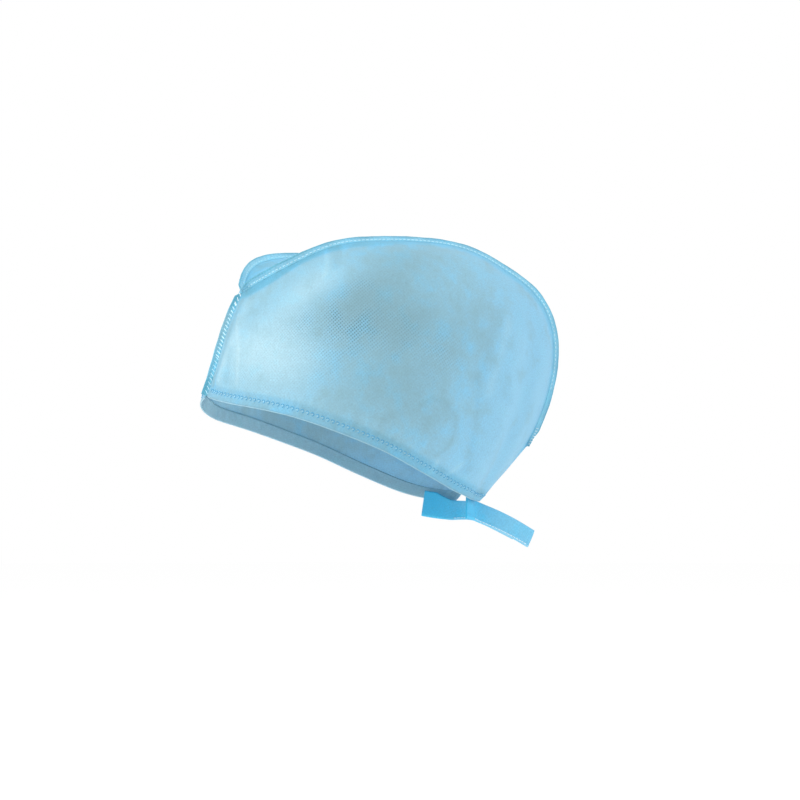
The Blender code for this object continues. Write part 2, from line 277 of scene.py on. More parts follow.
def seam_line(station, side):
    """Points of the crown seam, and the direction in which the panel leaves it."""
    out = np.maximum(spline(SEAM_ROWS, 2, station), 0.0)
    fan = math.pi * spline(SEAM_ROWS, 6, station)
    forward = CAP_HEIGHT * spline(RIGHT_FRONT, 1, station) * (side < 0)
    lift = CAP_HEIGHT * spline(RIGHT_FRONT, 2, station) * (side < 0)
    back = CROWN_START + CROWN_LENGTH * spline(SEAM_ROWS, 1, station) - forward
    rise = CAP_HEIGHT * spline(SEAM_ROWS, 3, station) + lift
    points = np.stack([side * CROWN_HALF_WIDTH * out, back, rise], axis=-1)
    outward = np.stack([side * np.sin(fan), -np.cos(fan), np.zeros_like(fan)], axis=-1)
    return points, outward


SIDES = (("left", 1), ("right", -1))
for name, side in SIDES:
    hem_run = distance_along(hem_line(np.linspace(0, 1, 200), side)[0])[-1]
    print("hem on the", name, "is", round(hem_run * 1000), "mm long")

# %% [markdown]
# ## Folds, pressed lines and puckers
# Thin cloth is never smooth. It keeps soft folds where it hangs slack, a faint curved line where it
# was pressed from inside, a slight unevenness all over, and small puckers beside each row of stitches.
# Each fold is a line on the flat panel with a width and a depth. It pushes the cloth out or in, and
# the same table paints light and shade along it, as a paler or greyer colour.

# %% Folds, pressed lines and puckers
# In mm, along the middle of a panel and up it
PANEL_RUN = 260.0
PANEL_TALL = 150.0

# Side, station and height of each end, half width and depth in mm, and tint of painted light and
# shade along the fold, from -1 for greyer (painted shade) to 1 for paler (painted light)
FOLDS = (
    (1, 0.860, 0.08, 0.730, 0.78, 10.8, -2.4, -0.02),
    (1, 0.800, 0.05, 0.700, 0.60, 9.6, 1.7, 0.10),
    (1, 0.050, 0.15, 0.070, 0.80, 5.3, 1.2, 0.25),
    (1, 0.043, 0.74, 0.088, 0.40, 1.3, 0.35, 0.30),
    (1, 0.088, 0.40, 0.115, 0.13, 1.3, 0.40, 0.30),
    (1, 0.060, 0.42, 0.075, 0.14, 2.6, -0.50, -0.30),
    (1, 0.026, 0.10, 0.028, 0.88, 2.6, -0.10, -0.45),
    (1, 0.240, 0.97, 0.258, 0.70, 1.0, 0.40, 0.30),
    (1, 0.262, 0.97, 0.275, 0.74, 2.2, -0.40, -0.25),
    (1, 0.625, 0.675, 0.647, 0.367, 3.2, -0.80, -0.10),
    (1, 0.647, 0.367, 0.738, 0.088, 3.4, -0.80, -0.14),
    (1, 0.655, 0.640, 0.680, 0.360, 3.0, 0.60, 0.22),
    (1, 0.662, 0.060, 0.667, 0.010, 1.3, 0.30, 0.50),
    (1, 0.700, 0.010, 0.725, 0.110, 1.5, -0.30, 0.30),
    (-1, 0.830, 0.06, 0.760, 0.82, 10.8, -2.2, 0.02),
    (-1, 0.560, 0.10, 0.600, 0.70, 14.4, 1.4, 0.10),
    (-1, 0.130, 0.10, 0.110, 0.75, 8.4, -1.4, -0.05),
    (-1, 0.090, 0.60, 0.130, 0.12, 1.0, 0.40, 0.50),
    (-1, 0.300, 0.93, 0.330, 0.66, 2.2, -0.50, -0.30),
    (-1, 0.660, 0.66, 0.720, 0.12, 3.4, -0.90, -0.28),
    (-1, 0.700, 0.64, 0.760, 0.14, 3.0, 0.70, 0.24),
)
# A curved line pressed into the cloth above the hem, as stations and heights
PRESSED_LINE = (
    (0.550, 0.198), (0.568, 0.238), (0.603, 0.247), (0.638, 0.228), (0.657, 0.177),
    (0.664, 0.113), (0.650, 0.075),
)
PRESSED_WIDTH = 1.5
PRESSED_DEPTH = 0.55
# Painted shade: the cloth is painted greyer along the pressed line
PRESSED_SHADE = -0.24

# Broad patches of painted light and shade, where the cloth is painted paler or greyer: station,
# height, radius in mm, tint
LIGHT_AND_SHADE_PATCHES = (
    (0.140, 0.38, 30.0, 0.75), (0.250, 0.66, 20.0, 0.55), (0.250, 0.24, 22.0, 0.45),
    (0.410, 0.22, 26.0, -0.42), (0.520, 0.20, 24.0, -0.40), (0.600, 0.15, 11.0, -0.20),
    (0.350, 0.52, 24.0, -0.75), (0.460, 0.46, 16.0, -0.45), (0.390, 0.76, 26.0, -0.50),
    (0.580, 0.50, 22.0, -0.30), (0.860, 0.60, 34.0, 0.10), (0.960, 0.30, 26.0, 0.10),
)
# Places where the weld dots show best: station, height, radius in mm, share of their full depth
WELDED_PLACES = (
    (0.230, 0.46, 17.0, 1.15), (0.330, 0.42, 18.0, 1.20), (0.440, 0.40, 14.0, 0.70),
    (0.550, 0.38, 11.0, 0.65), (0.280, 0.24, 18.0, 0.55), (0.150, 0.22, 22.0, 0.60),
    (0.333, 0.60, 9.0, 0.60),
)
WELD_EVERYWHERE = 0.16


def on_flat_panel(station, height):
    """Places on the flat panel in mm."""
    return np.stack(np.broadcast_arrays(station, height), axis=-1) * (PANEL_RUN, PANEL_TALL)


def patchy(place, patches):
    """Adds up soft round patches, each with a station, a height, a radius in mm and a strength."""
    total = np.zeros(place.shape[:-1])
    for station, height, radius, strength in patches:
        away = np.linalg.norm(place - on_flat_panel(station, height), axis=-1)
        total += strength * np.exp(-((away / radius) ** 2))
    return total


def weld_depth(station, height):
    """How deep the weld dots look at places on a panel."""
    return WELD_EVERYWHERE + patchy(on_flat_panel(station, height), WELDED_PLACES)


def line_distance(place, start, end):
    """Distance in mm from places on the flat panel to the line between two points."""
    start, end = on_flat_panel(*start), on_flat_panel(*end)
    ridge = end - start
    share = np.clip((place - start) @ ridge / max(ridge @ ridge, 1e-9), 0, 1)
    return np.linalg.norm(place - start - share[..., None] * ridge, axis=-1)


def folds_and_painted_light(station, height, side):
    """How far the folds push the cloth out, in metres, and the painted light and shade that the
    patches, folds and pressed line lay on it as a tint.
    """
    place = on_flat_panel(station, height)
    push = np.zeros(place.shape[:-1])
    tint = patchy(place, LIGHT_AND_SHADE_PATCHES)
    for fold_side, s0, h0, s1, h1, half_width, depth, tone in FOLDS:
        if fold_side == side:
            swell = np.exp(-((line_distance(place, (s0, h0), (s1, h1)) / half_width) ** 2))
            push += millimetres(depth) * swell
            tint += tone * swell
    away = np.min([line_distance(place, a, b) for a, b in zip(PRESSED_LINE, PRESSED_LINE[1:])], axis=0)
    pressed = np.exp(-((away / PRESSED_WIDTH) ** 2))
    push += millimetres(PRESSED_DEPTH) * pressed
    tint += PRESSED_SHADE * pressed
    ends = np.minimum(20 * station, 12 * (1 - station))
    fade = np.clip(np.minimum(8 * (1 - height), ends), 0, 1)
    return push * fade, tint


# Slight waves all over the cloth: length in metres, and direction
WAVES = (
    (0.031, (0.9, 0.3, 0.2)), (0.019, (-0.4, 0.7, 0.5)), (0.013, (0.5, -0.6, 0.6)), (0.023, (0.1, 0.8, -0.6)),
)
WAVE_STEEPNESS = 0.006


def unevenness(points):
    """Height of the slight waves, each as high as its length allows."""
    return WAVE_STEEPNESS * sum(
        length * wave(points @ np.array(way), length, 40 * way[2]) for length, way in WAVES
    )


print("folds:", len(FOLDS), "and one pressed line of", len(PRESSED_LINE), "points")

# %% [markdown]
# ## Two surfaces to sew on
# Everything else lies on one of two surfaces: the side panel and the crown strip. Each is a function
# that takes a place on the flat cloth and gives the point in space, so a stitch, a hem or a standing
# seam can ask where the cloth is and which way it faces. A direction is found by taking two points
# close together and subtracting them.

# %% Side panel and crown strip as surfaces
def panel_base(station, height, side):
    """Outer face of a side panel before its folds."""
    hem, hem_out = hem_line(station, side)
    seam, seam_out = seam_line(station, side)
    rise = seam - hem
    low = hem + LOW_HANDLE * rise + SWELL * spline(SWELL_ROWS, 1, station)[..., None] * hem_out
    high = seam - spline(SEAM_ROWS, 5, station)[..., None] * rise
    high = high + ROLL * spline(SEAM_ROWS, 4, station)[..., None] * seam_out
    t = np.asarray(height, float)[..., None]
    curve = (1 - t) ** 3 * hem + 3 * (1 - t) ** 2 * t * low + 3 * (1 - t) * t**2 * high + t**3 * seam
    return curve, unit((1 - t) * hem_out + t * seam_out)


# In mm
PUCKER_AT_HEM = 0.22
PUCKER_AT_SEAM = 0.30


def pucker(station, height):
    """Small gathers that the stitches pull into the cloth, strongest at the seam and at the hem."""
    run = millimetres(PANEL_RUN) * station
    near_hem = np.exp(-(((height - 0.06) / 0.05) ** 2)) * wave(run, 0.0071, 3 * np.sin(run * 90))
    near_seam = np.exp(-((1 - height) / 0.045)) * wave(run, 0.0093, 2 * np.sin(run * 70))
    near_seam = near_seam * (1 - np.exp(-((1 - height) / 0.01)))
    return millimetres(PUCKER_AT_HEM * near_hem + PUCKER_AT_SEAM * near_seam)


def panel_points(station, height, side):
    """Outer face of a side panel with its folds, unevenness and puckers."""
    station, height = np.broadcast_arrays(np.asarray(station, float), np.asarray(height, float))
    smooth, outward = panel_base(station, height, side)
    push, _ = folds_and_painted_light(station, height, side)
    calm = np.clip(12 * height, 0, 1) * np.clip(12 * (1 - height), 0, 1)
    push = push + calm * unevenness(smooth) + pucker(station, height)
    return smooth + push[..., None] * outward


def shifted(value, step, low=0.0, high=1.0):
    return np.clip(value - step, low, high), np.clip(value + step, low, high)


def panel_normals(station, height, side):
    before, after = shifted(station, FINE_STEP)
    below, above = shifted(height, FINE_STEP)
    along = panel_base(after, height, side)[0] - panel_base(before, height, side)[0]
    up = panel_base(station, above, side)[0] - panel_base(station, below, side)[0]
    return unit(np.cross(along, up)) * side


def crown_base(station, across):
    """Outer face of the crown strip before its gathers, and how far each place is from the seams.

    across runs from -1 at the right seam to 1 at the left."""
    left, _ = seam_line(station, 1)
    right, _ = seam_line(station, -1)
    share = (np.asarray(across, float)[..., None] + 1) / 2
    points = right + (left - right) * share
    arch = 4 * share[..., 0] * (1 - share[..., 0])
    backward = np.clip((station - 0.6) / 0.4, 0, 1)
    points[..., 2] -= CROWN_SAG * np.sin(math.pi * station) * arch
    points[..., 1] += CROWN_BULGE * arch * (backward - np.exp(-station / 0.05))
    return points, arch


SEAM_RUN = 0.30  # metres along a crown seam
CROWN_GATHER = 0.30  # mm


def crown_points(station, across):
    """Outer face of the crown strip with its gathers and unevenness."""
    points, arch = crown_base(station, across)
    run = SEAM_RUN * station
    gathers = np.exp(-arch / 0.16) * wave(run, 0.0087, 2 * np.sin(run * 60)) * np.clip(8 * arch, 0, 1)
    points[..., 2] += arch * unevenness(points) + millimetres(CROWN_GATHER) * gathers
    return points


def crown_normals(station, across):
    before, after = shifted(station, FINE_STEP)
    right, left = shifted(across, 0.01, -1.0, 1.0)
    along = crown_base(after, across)[0] - crown_base(before, across)[0]
    over = crown_base(station, left)[0] - crown_base(station, right)[0]
    return unit(np.cross(over, along))


def section_speed(station, side):
    """How fast a section leaves the hem and reaches the seam, in metres for each unit of height."""
    step = 0.01
    base = [panel_base(station, np.full_like(station, h), side)[0] for h in (0, step, 1 - step, 1)]
    start_speed = np.linalg.norm(base[1] - base[0], axis=-1) / step
    return start_speed, np.linalg.norm(base[3] - base[2], axis=-1) / step


halfway = panel_base(np.array([0.5]), np.array([1.0]), 1)[0][0]
print("crown seam halfway along:", [round(float(value), 4) for value in halfway])

# %% [markdown]
# ## Spunbond polypropylene
# The cloth is not woven. Endless filaments are laid at random and welded by a hot roller that prints
# a lattice of tiny dots, each about half a millimetre wide. Close up it has three scales: clouds where
# the filaments lie thicker, fine fibres, and the lattice of sunken dots, which are a little darker.
# The cloth lets much light through, so part of the shader is Translucent. Where two or three layers
# lie on each other it turns a deeper blue. The pieces carry three maps for this: a UV map in metres
# along the cloth, a vertex colour that says where it is doubled or painted with shade (red), how pale
# or grey it looks, mostly from painted light and shade (green, with 0.5 in the middle), and how blue
# it is, with painted light making the side panels less blue towards the front (blue), and a number for
# how deep the weld dots are pressed, because stretching has nearly smoothed them out in places.

# %% Spunbond polypropylene
BOND_PITCH = 1.6  # mm between weld dots. Real ones are nearer 1.2 mm, too fine to show at this size.
CLOUD_SIZE = 13.0  # mm across a cloud of thicker filaments
PATCH_SIZE = 13.0  # mm across a patch where the dots are pressed deeper
FIBRE_SIZE = 1.2  # mm across a clump of fibres
LATTICE_TURN = math.radians(37.0)  # how far the rows of dots are turned from the hem


def spunbond(name, middle_hex, calm_hex, pale_hex, grey_hex, doubled_hex, through):
    """Thermally bonded nonwoven cloth in four tones, which lets a share of the light through.

    The middle tone changes to the calm one where the vertex colour says so, and doubled_hex is the
    tint that one more layer lays over the colour, and also the painted shade where the layers colour
    marks it. The pale and grey tones carry the painted light and shade of the vertex colour, besides
    the clouds."""
    material, tree, shader = new_material(name)
    cloth = add_node(tree, "ShaderNodeUVMap", uv_map="Cloth").outputs["UV"]
    place = add_node(tree, "ShaderNodeTexCoord").outputs["Object"]
    turned = add_node(tree, "ShaderNodeMapping", {"Vector": cloth, "Rotation": (0.0, 0.0, LATTICE_TURN)})
    clouds, patches, fibres = [
        add_node(
            tree,
            "ShaderNodeTexNoise",
            {"Vector": at, "Scale": 1000 / size, "Detail": detail, "Roughness": rough, "Distortion": twist},
        ).outputs["Fac"]
        for at, size, detail, rough, twist in (
            (place, CLOUD_SIZE, 4.0, 0.62, 0.0),
            (place, PATCH_SIZE, 3.0, 0.60, 0.0),
            (cloth, FIBRE_SIZE, 3.0, 0.75, 0.6),
        )
    ]
    dots = add_node(
        tree,
        "ShaderNodeTexVoronoi",
        {"Vector": turned.outputs["Vector"], "Scale": 1000 / BOND_PITCH, "Randomness": 0.06},
        voronoi_dimensions="2D",
    ).outputs["Distance"]
    dots = add_node(
        tree,
        "ShaderNodeMapRange",
        {"Value": dots, "From Min": 0.16, "From Max": 0.42, "To Min": 1.0, "To Max": 0.0},
        interpolation_type="SMOOTHSTEP",
    ).outputs["Result"]

    state = add_node(tree, "ShaderNodeAttribute", attribute_name="layers").outputs["Color"]
    doubled, tone, blue = add_node(tree, "ShaderNodeSeparateColor", {"Color": state}).outputs
    cloudy = add_node(tree, "ShaderNodeMath", {0: clouds, 1: 0.64, 2: -0.32}, operation="MULTIPLY_ADD")
    tone = add_node(tree, "ShaderNodeMath", {0: tone, 1: cloudy.outputs[0]}, operation="ADD").outputs[0]
    bluer = add_node(tree, "ShaderNodeMath", {0: patches, 1: 1.6, 2: -0.8}, operation="MULTIPLY_ADD")
    bluer = add_node(
        tree, "ShaderNodeMath", {0: blue, 1: bluer.outputs[0]}, operation="ADD", use_clamp=True
    ).outputs[0]
    # Each row turns a range of a pattern into a range of what it does to the colour.
    ends = ("Value", "From Min", "From Max", "To Min", "To Max")
    pale, grey, thicker, speck, sunken, deeper = [
        add_node(tree, "ShaderNodeMapRange", dict(zip(ends, row))).outputs["Result"]
        for row in (
            (tone, 0.50, 1.00, 0.0, 1.0),
            (tone, 0.50, 0.05, 0.0, 1.0),
            (patches, 0.50, 0.66, 0.0, 0.34),
            (fibres, 0.30, 0.70, 0.86, 1.10),
            (tone, 0.35, 0.80, -0.36, -0.13),
            (patches, 0.40, 0.62, 0.50, 1.30),
        )
    ]
    layered = add_node(
        tree, "ShaderNodeMath", {0: doubled, 1: thicker}, operation="ADD", use_clamp=True
    ).outputs[0]
    pressed = add_node(tree, "ShaderNodeAttribute", attribute_name="weld_depth").outputs["Fac"]
    for share in (deeper, dots):
        pressed = add_node(tree, "ShaderNodeMath", {0: pressed, 1: share}, operation="MULTIPLY").outputs[0]
    weld = add_node(tree, "ShaderNodeMath", {0: pressed, 1: sunken, 2: 1.05}, operation="MULTIPLY_ADD")
    shade = add_node(tree, "ShaderNodeMath", {0: speck, 1: weld.outputs[0]}, operation="MULTIPLY").outputs[0]
    shade = add_node(tree, "ShaderNodeCombineColor", {"Red": shade, "Green": shade, "Blue": shade}).outputs[0]

    # Inputs 6 and 7 and output 2 of a Mix node are its colours.
    colour = linear(calm_hex)
    for share, other, blend in (
        (bluer, linear(middle_hex), "MIX"),
        (pale, linear(pale_hex), "MIX"),
        (grey, linear(grey_hex), "MIX"),
        (layered, linear(doubled_hex), "MULTIPLY"),
        (1.0, shade, "MULTIPLY"),
    ):
        colour = add_node(
            tree, "ShaderNodeMix", {0: share, 6: colour, 7: other}, data_type="RGBA", blend_type=blend
        ).outputs[2]
    passed = add_node(
        tree, "ShaderNodeMix", {0: 0.45, 6: colour, 7: linear("#ffffff")}, data_type="RGBA"
    ).outputs[2]

    relief = add_node(tree, "ShaderNodeMath", {0: pressed, 1: -1.0, 2: fibres}, operation="MULTIPLY_ADD")
    bump = add_node(
        tree,
        "ShaderNodeBump",
        {"Height": relief.outputs[0], "Strength": 0.55, "Distance": millimetres(0.14)},
    ).outputs["Normal"]
    fill_inputs(shader, {
        "Base Color": colour, "Normal": bump, "Roughness": 0.62, "IOR": 1.49,
        "Specular IOR Level": 0.30, "Sheen Weight": 0.12, "Sheen Roughness": 0.5,
    })
    glow = add_node(tree, "ShaderNodeBsdfTranslucent", {"Color": passed, "Normal": bump})
    both = add_node(
        tree, "ShaderNodeMixShader", {0: through, 1: shader.outputs["BSDF"], 2: glow.outputs["BSDF"]}
    )
    fill_inputs(tree.nodes["Material Output"], {"Surface": both.outputs["Shader"]})
    return material


cap_cloth = spunbond(
    "Spunbond polypropylene, one layer", "#92c9e2", "#96c0cd", "#bad9e2", "#84acb8", "#cbf7ff", 0.38
)
seam_cloth = spunbond(
    "Spunbond polypropylene, two layers", "#a0d2e6", "#a2ccd8", "#c0dee8", "#86b8c8", "#cbf7ff", 0.16
)
tie_cloth = spunbond(
    "Spunbond polypropylene, folded tie", "#7cc0de", "#7cc0de", "#b4dcec", "#6ab4d6", "#7cecff", 0.15
)
print("cloth:", cap_cloth.name, "|", seam_cloth.name, "|", tie_cloth.name)

# %% [markdown]
# ## Sewing thread
# The cap is sewn with spun polyester thread of a quarter to half a millimetre. It is soft and not
# shiny, with a slight twist, and it is white or pale blue. The hem's chain loops are thread drawn in
# dark blue, which paints the shade round the loops and their needle holes. Each stitch is a short
# curve with a round section, which dips into the cloth at both ends. The curves are turned into one
# mesh for each row of stitches.

# %% Sewing thread
TWISTS = 2600.0  # clumps of yarn in a metre, each about 0.4 mm long


def spun_thread(name, colour_hex, pale_hex):
    """Spun polyester: a soft matte thread whose fine twist shows in two tones."""
    material, tree, shader = new_material(name)
    place = add_node(tree, "ShaderNodeTexCoord").outputs["Object"]
    twist = add_node(
        tree, "ShaderNodeTexNoise", {"Vector": place, "Scale": TWISTS, "Detail": 2.0}
    ).outputs["Fac"]
    colour = add_node(
        tree, "ShaderNodeMix", {0: twist, 6: linear(colour_hex), 7: linear(pale_hex)}, data_type="RGBA"
    ).outputs[2]
    bump = add_node(
        tree, "ShaderNodeBump", {"Height": twist, "Strength": 0.4, "Distance": millimetres(0.05)}
    ).outputs["Normal"]
    fill_inputs(shader, {"Base Color": colour, "Normal": bump, "Roughness": 0.7, "Sheen Weight": 0.2})
    return material


def thread_piece(name, paths, radius, material):
    """All the stitches of one row as one mesh. Each path is a list of points in metres."""
    curve = bpy.data.curves.new(name, "CURVE")
    curve.dimensions = "3D"
    curve.bevel_depth = millimetres(radius)
    curve.bevel_resolution = 1
    curve.use_fill_caps = True
    for path in paths:
        line = curve.splines.new("POLY")
        line.points.add(len(path) - 1)
        for point, spot in zip(line.points, path):
            point.co = (*spot, 1.0)
    holder = bpy.data.objects.new(name + "_curve", curve)
    scene.collection.objects.link(holder)
    mesh = bpy.data.meshes.new_from_object(holder)
    bpy.data.objects.remove(holder)
    bpy.data.curves.remove(curve)
    mesh.name = name
    mesh.materials.clear()
    mesh.materials.append(material)
    mesh.shade_smooth()
    piece = bpy.data.objects.new(name, mesh)
    scene.collection.objects.link(piece)
    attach(piece, "root")
    print(name, len(paths), "stitches,", len(mesh.polygons), "faces")
    return piece


def spaced(points, normals, pitch):
    """Places along a line of points at an even spacing in mm, with the direction and normal there."""
    run = distance_along(points)
    marks = np.arange(0.4 * millimetres(pitch), run[-1] - 0.4 * millimetres(pitch), millimetres(pitch))

    def at(values, where):
        return np.stack([np.interp(where, run, values[:, k]) for k in range(3)], axis=-1)

    along = unit(at(points, marks + 0.0003) - at(points, marks - 0.0003))
    return at(points, marks), along, unit(at(normals, marks))


def surface_row(surface, share, start, end):
    """Points and normals along one line of a surface function, at a fixed share of its height."""
    u = np.linspace(start, end, 900)
    v = np.full_like(u, share)
    points = surface(u, v)
    along = surface(np.clip(u + 0.001, 0, 1), v) - surface(np.clip(u - 0.001, 0, 1), v)
    return points, unit(np.cross(along, surface(u, v + 0.02) - points))


def lock_stitches(points, normals, pitch, length, lift):
    """Short straight stitches in a row that rise a little from the cloth between two needle holes."""
    half = 0.5 * millimetres(length)
    height = millimetres(lift)
    shape = ((-1.0, -0.8), (-0.55, 0.9), (0.55, 0.9), (1.0, -0.8))
    places, along, up = spaced(points, normals, pitch)
    return [
        [place + a * half * ahead + b * height * out for a, b in shape]
        for place, ahead, out in zip(places, along, up)
    ]


white_thread = spun_thread("Spun polyester thread, white", "#dff0f8", "#ffffff")
pale_thread = spun_thread("Spun polyester thread, pale blue", "#b4e0f2", "#dcf4fb")
# Dark blue thread that paints the shade of the hem's stitch loops and needle holes
stitch_shade_thread = spun_thread("Spun polyester thread, dark blue painted stitch shade", "#4394bc", "#62accf")
print("thread:", white_thread.name, "|", stitch_shade_thread.name)

# %% [markdown]
# ## Making a piece of cloth
# Every piece of cloth starts as a flat grid, as it would on the cutting table. A surface function
# then says where each point of the grid goes. The UV map is measured on the placed grid, in metres, so
# the weld dots keep their size everywhere. Solidify gives the cloth its thickness inwards. Each piece
# replaces the solid that holds its place, and all of them ride on the cap's one body.

# %% Making a piece of cloth
CLOTH_THICKNESS = 0.35  # mm


def cloth_piece(
    name, solid, columns, rows, surfaces, state, material, thickness=CLOTH_THICKNESS, offset=-1.0
):
    """A thin piece of cloth from one or more grids, with its UV map and its layers colour."""
    build = bmesh.new()
    uv = build.loops.layers.uv.new("Cloth")
    layers = build.verts.layers.float_color.new("layers")
    welds = build.verts.layers.float.new("weld_depth")
    for surface in surfaces:
        verts = bmesh.ops.create_grid(build, x_segments=columns, y_segments=rows, size=0.5)["verts"]
        flat = np.array([(v.co.x + 0.5, v.co.y + 0.5) for v in verts])
        spots = np.rint(flat * (columns, rows)).astype(int)
        places = surface(flat[:, 0], flat[:, 1])
        colours = state(flat[:, 0], flat[:, 1])
        grid = np.zeros((columns + 1, rows + 1, 3))
        grid[spots[:, 0], spots[:, 1]] = places
        run = np.zeros((columns + 1, rows + 1, 2))
        run[1:, :, 0] = np.cumsum(np.linalg.norm(np.diff(grid, axis=0), axis=-1), axis=0)
        run[:, 1:, 1] = np.cumsum(np.linalg.norm(np.diff(grid, axis=1), axis=-1), axis=1)
        for vert, point, colour, (i, j) in zip(verts, places, colours, spots):
            vert.co = point
            vert[layers] = (*colour[:3], 1.0)
            vert[welds] = colour[3]
            for loop in vert.link_loops:
                loop[uv].uv = run[i, j]
    mesh = bpy.data.meshes.new(name)
    build.to_mesh(mesh)
    build.free()
    mesh.shade_smooth()
    mesh.materials.append(material)
    piece = bpy.data.objects.new(name, mesh)
    scene.collection.objects.link(piece)
    wall = piece.modifiers.new("Cloth thickness", "SOLIDIFY")
    wall.thickness = millimetres(thickness)
    wall.offset = offset
    wall.use_even_offset = False
    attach(piece, "root")
    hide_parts(solid)
    area = sum(face.area for face in mesh.polygons)
    print(name, len(mesh.polygons), "faces,", round(area * 10000), "square cm")
    return piece


def state_colours(doubled, tone, blue, pressed=0.2):
    """What the shader reads from a piece: doubled, tone, blueness and weld depth, 0 or more."""
    return np.clip(np.stack(np.broadcast_arrays(doubled, tone, blue, pressed), axis=-1), 0, 1.5)


print("cloth thickness:", CLOTH_THICKNESS, "mm")

# %% [markdown]
# ## Side panels
# A side panel is the large piece that the eye sees first. It runs from the front seam round to the
# rear edge. It could be draped by simulation, but its form is already known, so the grid is placed
# on the known surface and only the folds are added. Along the hem, and in a narrow strip beside the
# crown seam, the cloth is doubled, so those places are marked in the layers colour. The crown seam's
# strip is also painted darker as shade where the cloth turns away, and a narrow strip beside the front
# seam is painted deeper blue as shade between the overlock bars. Painted light and shade make the
# panel paler, greyer or less blue in broad patches, along its folds and towards the front.

# %% Side panels
HEM_DEPTH = 8.5
SEAM_STRIP = 5.4
# Width in mm of the painted shade beside the front seam, between the overlock bars
FRONT_SHADE_STRIP = 2.6
REAR_STRIP = 5.0
SEAM_JOINT = 0.0010
# The blueness along the panel is painted light: less blue towards the front, where a white head inside would
# throw light back through the cloth
# Along the panel, stations and the value at each of them
BLUENESS = ((0.0, 0.10, 0.20, 0.55, 0.72, 1.0), (0.45, 0.35, 0.35, 0.50, 1.0, 1.0))
STRIP_WIDTH = ((0.0, 0.05, 0.12, 0.18), (1.1, 1.7, 1.7, 1.0))
# The seam strip's depth is doubled cloth and painted shade together
STRIP_DOUBLED_AND_SHADE = ((0.12, 0.19, 0.6, 0.8), (1.0, 0.95, 0.9, 0.5))
HEM_DOUBLED = ((0.0, 0.15, 0.35, 0.55), (0.05, 0.14, 0.24, 0.42))


def front_station(distance):
    """The station that lies this far from a panel's front edge, halfway up."""
    near = panel_base(np.array([0.0, FINE_STEP]), np.array([0.5, 0.5]), 1)[0]
    return distance * FINE_STEP / np.linalg.norm(near[1] - near[0])


def panel_place(side, u, v):
    """Station and height of a place on the panel's grid, which stops short of the seams."""
    u = u if side > 0 else 1 - u
    front = front_station(0.5 * SEAM_JOINT)
    station = front + (1 - front) * u
    return station, v * (1 - 0.25 * SEAM_JOINT / section_speed(station, side)[1])


def panel_surface(side):
    return lambda u, v: panel_points(*panel_place(side, u, v), side)


def soft_edge(distance, width, softness):
    """1 inside a strip of this width in mm, falling softly to 0 outside it."""
    return 1 / (1 + np.exp(np.clip((distance - width) / softness, -40, 40)))


def panel_state(side):
    """Where a panel is doubled, and the painted light and shade that make it paler, greyer or bluer."""

    def state(u, v):
        station, height = panel_place(side, u, v)
        start_speed, end_speed = section_speed(station, side)
        # Distances in mm up from the hem, down from the crown seam as seen from the side, ahead of
        # the rear edge and behind the front edge
        up = 1000 * start_speed * height
        seen = (panel_points(station, height, side) - seam_line(station, side)[0])[:, 1:]
        down = np.maximum(1000 * np.linalg.norm(seen, axis=1), 400 * end_speed * (1 - height))
        ahead = PANEL_RUN * (1 - station)
        behind = PANEL_RUN * station
        hem = soft_edge(up, HEM_DEPTH, 0.5)
        # Beside the crown seam the cloth is doubled, and the strip is also painted darker as shade where the
        # cloth turns away
        strip = soft_edge(down, SEAM_STRIP * np.interp(station, *STRIP_WIDTH), 0.6)
        strip = strip * np.interp(station, *STRIP_DOUBLED_AND_SHADE)
        # Painted shade: a deeper blue strip beside the front seam, between the overlock bars
        front = 0.9 * soft_edge(behind, FRONT_SHADE_STRIP, 0.4)
        rear = 0.4 * soft_edge(ahead, REAR_STRIP, 0.4)
        doubled = np.maximum.reduce([hem * np.interp(station, *HEM_DOUBLED), strip, front, rear])
        # More layers still lie on each other at three corners.
        for much, one, other, radius, softness in (
            (0.85, up, ahead, 10.0, 2.2), (0.8, down, ahead, 6.0, 2.0), (1.0, down, behind, 7.0, 2.0),
        ):
            doubled = doubled + much * soft_edge(np.hypot(one, other), radius, softness)
        _, tint = folds_and_painted_light(station, height, side)
        # Painted light: the panel is less blue towards the front
        blue = np.interp(station, *BLUENESS) + 0.4 * hem
        # The tint adds the painted light and shade of the patches, folds and pressed line, and near the front
        # the seam strip is painted greyer as shade
        tone = 0.5 + 0.5 * tint - 0.08 * hem - 0.22 * strip * soft_edge(station, 0.30, 0.05)
        return state_colours(doubled, tone, blue + strip, weld_depth(station, height))

    return state


for name, side in SIDES:
    cloth_piece(
        name + "_panel_cloth", "side_panel_" + name, 200, 112,
        [panel_surface(side)], panel_state(side), cap_cloth,
    )

# %% [markdown]
# ## Turned-up hem
# The lower edge is folded up inside and sewn. The inner layer lies a fraction of a millimetre inside
# the panel, runs down, and rolls round under the edge. So its grid has two parts: a flat layer, and
# a half turn that meets the panel's outer face from below.

# %% Turned-up hem
HEM_START = 0.0034
HEM_GAP = 0.3
INNER_THICKNESS = 0.3
ROLL_SHARE = 0.3


